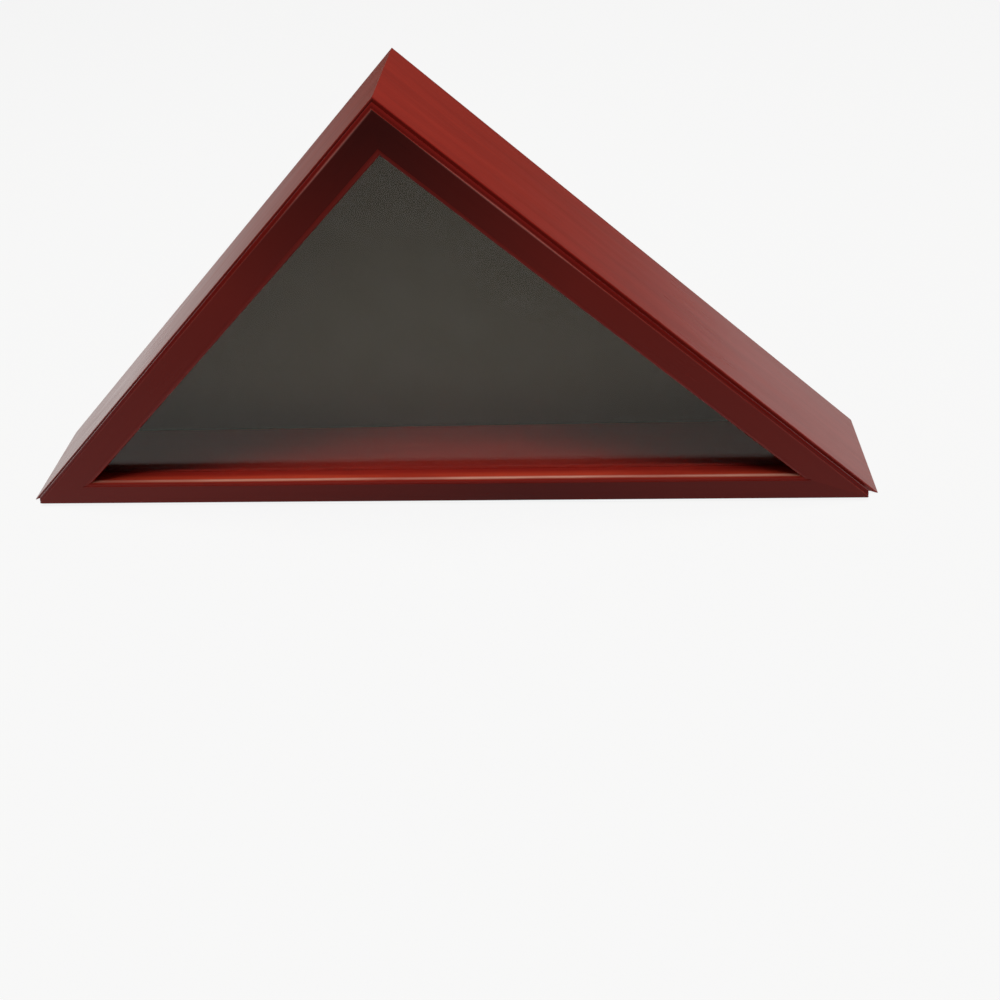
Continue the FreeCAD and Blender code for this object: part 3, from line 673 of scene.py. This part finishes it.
@dataclass
class FeltLining:
    """The felt on the inside of the back, cut to the triangle between the boards."""

    nap: float = 0.12 * MM
    nap_pitch: float = 22 * MM
    edge_roll: float = 0.1 * MM
    cuts: int = 70

    def build(self) -> bpy.types.Object:
        """Model the felt where the CAD keeps its place.

        Returns:
            The felt, riding on the case.
        """
        low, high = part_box("back_liner")
        middle = (low.x + high.x) / 2
        mesh = bmesh.new()
        corners = [mesh.verts.new((x, low.y + self.nap, z)) for x, z in (
            (low.x, low.z), (high.x, low.z), (middle, high.z))]
        mesh.faces.new(corners)
        bmesh.ops.subdivide_edges(mesh, edges=mesh.edges[:], cuts=self.cuts, use_grid_fill=True)
        for vert in mesh.verts:
            vert.co.y += self.nap * noise.noise(vert.co / self.nap_pitch)
        bmesh.ops.recalc_face_normals(mesh, faces=mesh.faces[:])
        if mesh.faces[0].normal.y > 0:
            bmesh.ops.reverse_faces(mesh, faces=mesh.faces[:])
        rim = [edge for edge in mesh.edges if edge.is_boundary]
        rim_verts = {vert for edge in rim for vert in edge.verts}
        bmesh.ops.translate(mesh, verts=list(rim_verts), vec=(0.0, self.edge_roll, 0.0))
        data = bpy.data.meshes.new("felt_lining")
        mesh.to_mesh(data)
        mesh.free()
        for face in data.polygons:
            face.use_smooth = True
        felt = bpy.data.objects.new("felt_lining", data)
        bpy.context.scene.collection.objects.link(felt)
        wall = felt.modifiers.new("thickness", "SOLIDIFY")
        wall.thickness = high.y - low.y - 2 * self.nap - self.edge_roll
        wall.offset = -1.0
        data.materials.append(PressedFelt("pressed_wool_felt").make())
        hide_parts("back_liner")
        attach(felt, "case")
        return felt


@dataclass
class GlazedDoor:
    """The door: three moulded rails, the pane, the stops behind it and their nails. Sizes are in mm."""

    front: float = -43.5
    face_inset: float = 3.3
    bead: tuple[float, float] = (2.3, 24.4)
    bead_flank: float = 2.2
    stop_back: float = -26.5
    stop_inset: float = 23.7
    edge: float = 0.5
    half_slope: float = 229.0
    # Arris: faint edge wear all along, and a painted highlight over this stretch.
    arris_highlight_span: float = 95.0
    # Painted shade on the bead, reaching this far each way from the apex.
    pooled_span: float = 330.0
    # Painted shade on the bottom rail's face, darkest at its middle.
    bottom_shade_place: tuple[float, float, float] = (70 * MM, -43.5 * MM, 12 * MM)
    bottom_shade_reach: tuple[float, float] = (0.0, 300 * MM)
    bottom_shade_share: float = 0.64
    gloss: float = 0.08
    dusting: float = 0.0
    # Tones: pale edge wear, also a painted highlight on the bead; painted light on the ledge; arris wear with
    # a painted highlight; painted shade.
    pale_wear_and_highlight: str = "#D79C86"
    wear_and_painted_light: str = "#B83C26"
    arris_wear_and_highlight: str = "#D98E84"
    painted_shade: str = "#4A110D"

    def dress_bottom(self) -> None:
        """Finish the bottom rail: painted light and highlight on the bead, and painted shade at its middle.
        """
        bead_depth, bead_inset = self.front + self.bead[0], self.bead[1]
        # Painted light on the upward ledge behind the bead, and a painted highlight on the bead's crest.
        painted_bead_light = (
            ToneLine(bead_depth + self.bead_flank, bead_inset, reach=5.0, strength=0.95, tone=self.wear_and_painted_light),
            ToneLine(bead_depth, bead_inset, reach=1.6, strength=0.8, tone=self.pale_wear_and_highlight))
        dress("door_bottom_rail", StainedHardwood(
            "stained_hardwood_door_bottom_rail", Side.BASE, 11.2, painted_bead_light, self.front, self.face_inset,
            gloss=self.gloss, dusting=self.dusting, spot_shade_place=self.bottom_shade_place,
            spot_shade_reach=self.bottom_shade_reach, spot_shade_share=self.bottom_shade_share))

    def dress_slopes(self) -> None:
        """Finish the sloping rails: arris wear, a painted highlight on it, and painted shade at the apex."""
        bead_depth, bead_inset = self.front + self.bead[0], self.bead[1]
        for rail, side, plank, arris_highlight_at, apex in (
            ("door_left_rail", Side.LEFT, 14.9, -185.0, -self.half_slope),
            ("door_right_rail", Side.RIGHT, 18.4, 120.0, self.half_slope)):
            # Faint wear on the arris, a painted highlight over one stretch of it, and painted shade on the
            # bead near the apex.
            tone_lines = (
                ToneLine(self.front, self.face_inset, reach=0.8, strength=0.12, tone=self.arris_wear_and_highlight),
                ToneLine(
                    self.front, self.face_inset, reach=1.2, strength=0.85, tone=self.arris_wear_and_highlight,
                    along=arris_highlight_at, span=self.arris_highlight_span),
                ToneLine(
                    bead_depth + self.bead_flank, bead_inset, reach=6.0, strength=0.8, tone=self.painted_shade,
                    along=apex, span=self.pooled_span))
            dress(rail, StainedHardwood(
                f"stained_hardwood_{rail}", side, plank, tone_lines, self.front, self.face_inset,
                gloss=self.gloss, dusting=self.dusting))

    def dress(self) -> None:
        """Give rails, pane, stops and nails their finishes."""
        self.dress_bottom()
        self.dress_slopes()
        stop_rubs = (ToneLine(
            self.stop_back - self.edge, self.stop_inset - self.edge,
            reach=1.2, strength=0.15, tone=self.pale_wear_and_highlight),)
        for stop, side, plank in (
            ("glass_stop_bottom", Side.BASE, 11.7),
            ("glass_stop_left", Side.LEFT, 15.4),
            ("glass_stop_right", Side.RIGHT, 18.9)):
            dress(stop, StainedHardwood(f"stained_hardwood_{stop}", side, plank, stop_rubs))
        dress("glass_pane", FloatGlass("float_glass"))
        for node in ("glass_stop_brads", "door_v_nails", "door_strikes"):
            dress(node, Metal(
                f"zinc_plated_steel_{node}", Plating.ZINC, cloud_size=5.0, smooth=0.25, rough=0.42))


@dataclass
class Hardware:
    """Hinges, magnets, rubber dots, hangers and screws."""

    sides: tuple[str, str] = ("left", "right")

    def dress(self) -> None:
        """Give every fitting its finish."""
        for side in self.sides:
            for piece in ("case_leaf", "door_leaf", "pin"):
                dress(f"{side}_hinge_{piece}", Metal(
                    f"stamped_brass_{side}_{piece}", Plating.HINGE_BRASS,
                    cloud_size=9.0, smooth=0.22, rough=0.4))
            dress(f"hanger_plate_{side}", Metal(
                f"zinc_plated_steel_hanger_{side}", Plating.ZINC, cloud_size=7.0, smooth=0.25, rough=0.42))
        for node in ("hinge_case_screws", "hinge_door_screws"):
            dress(node, Metal(f"brass_{node}", Plating.SCREW_BRASS, cloud_size=3.0, smooth=0.2, rough=0.35))
        for node in ("back_panel_screws", "hanger_screws"):
            dress(node, Metal(
                f"zinc_plated_steel_{node}", Plating.ZINC, cloud_size=4.0, smooth=0.22, rough=0.38))
        dress("case_magnets", Metal(
            "nickel_plate", Plating.NICKEL, cloud_size=4.0, smooth=0.12, rough=0.24))
        dress("door_bumpers", SoftRubber("die_cut_rubber"))


@dataclass
class Studio:
    """White paper floor, a soft lamp overhead, a dim grey room and the camera of the photograph."""

    floor_size: float = 9.0
    floor_drop: float = 0.5 * MM
    floor_tones: tuple[str, str] = ("#A8A7A4", "#A3A29F")
    sheet_size: float = 2.14
    sheet_middle: tuple[float, float] = (-0.1, 0.385)
    room: str = "#4C4B49"
    softbox_place: tuple[float, float, float] = (0.0, -0.2, 2.4)
    softbox_size: float = 1.1
    softbox_watts: float = 56.0
    camera_place: tuple[float, float, float] = (0.11474, -0.54508, 0.53172)
    camera_aim: tuple[float, float, float] = (0.04458, -0.04359, 0.18485)
    camera_roll: float = 6.318
    lens: float = 34.439
    sensor: float = 36.0
    shift: tuple[float, float] = (0.0293, -0.1987)

    def lay(
        self, name: str, size: float, middle: tuple[float, float, float], finish: Finish,
    ) -> bpy.types.Object:
        """Lay a flat square on the ground.

        Args:
            name: Name of the square.
            size: Its side, in metres.
            middle: Where its middle lies.
            finish: What it is made of.

        Returns:
            The square.
        """
        mesh = bmesh.new()
        bmesh.ops.create_grid(mesh, x_segments=1, y_segments=1, size=size / 2)
        bmesh.ops.translate(mesh, verts=mesh.verts[:], vec=middle)
        data = bpy.data.meshes.new(name)
        mesh.to_mesh(data)
        mesh.free()
        data.materials.append(finish.make())
        square = bpy.data.objects.new(name, data)
        bpy.context.scene.collection.objects.link(square)
        return square

    def hang_lamp(
        self, name: str, place: tuple[float, float, float], size: float, watts: float,
    ) -> bpy.types.Object:
        """Hang a square soft lamp that faces the case.

        Args:
            name: Name of the lamp.
            place: Where it hangs, in metres.
            size: Side of the lamp, in metres.
            watts: Its power.

        Returns:
            The lamp.
        """
        light = bpy.data.lights.new(name, "AREA")
        light.size, light.energy = size, watts
        lamp = bpy.data.objects.new(name, light)
        bpy.context.scene.collection.objects.link(lamp)
        lamp.location = place
        lamp.rotation_mode = "QUATERNION"
        lamp.rotation_quaternion = (-Vector(place)).to_track_quat("-Z", "Y")
        return lamp

    def light_room(self) -> None:
        """Give the room a dim even grey."""
        world = bpy.data.worlds.new("dim_grey_room")
        world.use_nodes = True
        tree = world.node_tree
        tree.nodes.clear()
        grey = add(tree, "ShaderNodeBackground", {}, {"Color": linear(self.room), "Strength": 1.0})
        add(tree, "ShaderNodeOutputWorld", {}, {"Surface": grey.outputs["Background"]})
        bpy.context.scene.world = world

    def set_camera(self) -> bpy.types.Object:
        """Set the camera at the photograph's angle.

        Returns:
            The camera.
        """
        data = bpy.data.cameras.new("camera")
        data.lens, data.sensor_width = self.lens, self.sensor
        data.shift_x, data.shift_y = self.shift
        camera = bpy.data.objects.new("camera", data)
        bpy.context.scene.collection.objects.link(camera)
        camera.location = self.camera_place
        forward = Vector(self.camera_aim) - Vector(self.camera_place)
        roll = Quaternion(forward.normalized(), math.radians(self.camera_roll))
        camera.rotation_mode = "QUATERNION"
        camera.rotation_quaternion = roll @ forward.to_track_quat("-Z", "Y")
        bpy.context.scene.camera = camera
        return camera

    def build(self) -> None:
        """Lay the floor, hang the lamp and set room and camera."""
        self.lay("studio_floor", self.floor_size, (0.0, 0.0, -self.floor_drop), StudioPaper(
            "pale_grey_studio_floor", *self.floor_tones, white_share=0.0))
        self.lay("paper_sheet", self.sheet_size, (*self.sheet_middle, 0.0), StudioPaper("white_studio_paper"))
        self.hang_lamp("softbox", self.softbox_place, self.softbox_size, self.softbox_watts)
        self.light_room()
        self.set_camera()
        bpy.context.scene.view_settings.view_transform = "Standard"
        log.info("studio: floor, paper, lamp, room and camera")


def main() -> None:
    """Build and dress the case in order."""
    logging.basicConfig(level=logging.INFO, format="%(name)s: %(message)s")
    Studio().build()
    BoxOfBoards().dress()
    FeltLining().build()
    GlazedDoor().dress()
    Hardware().dress()


if __name__ == "__main__":
    main()
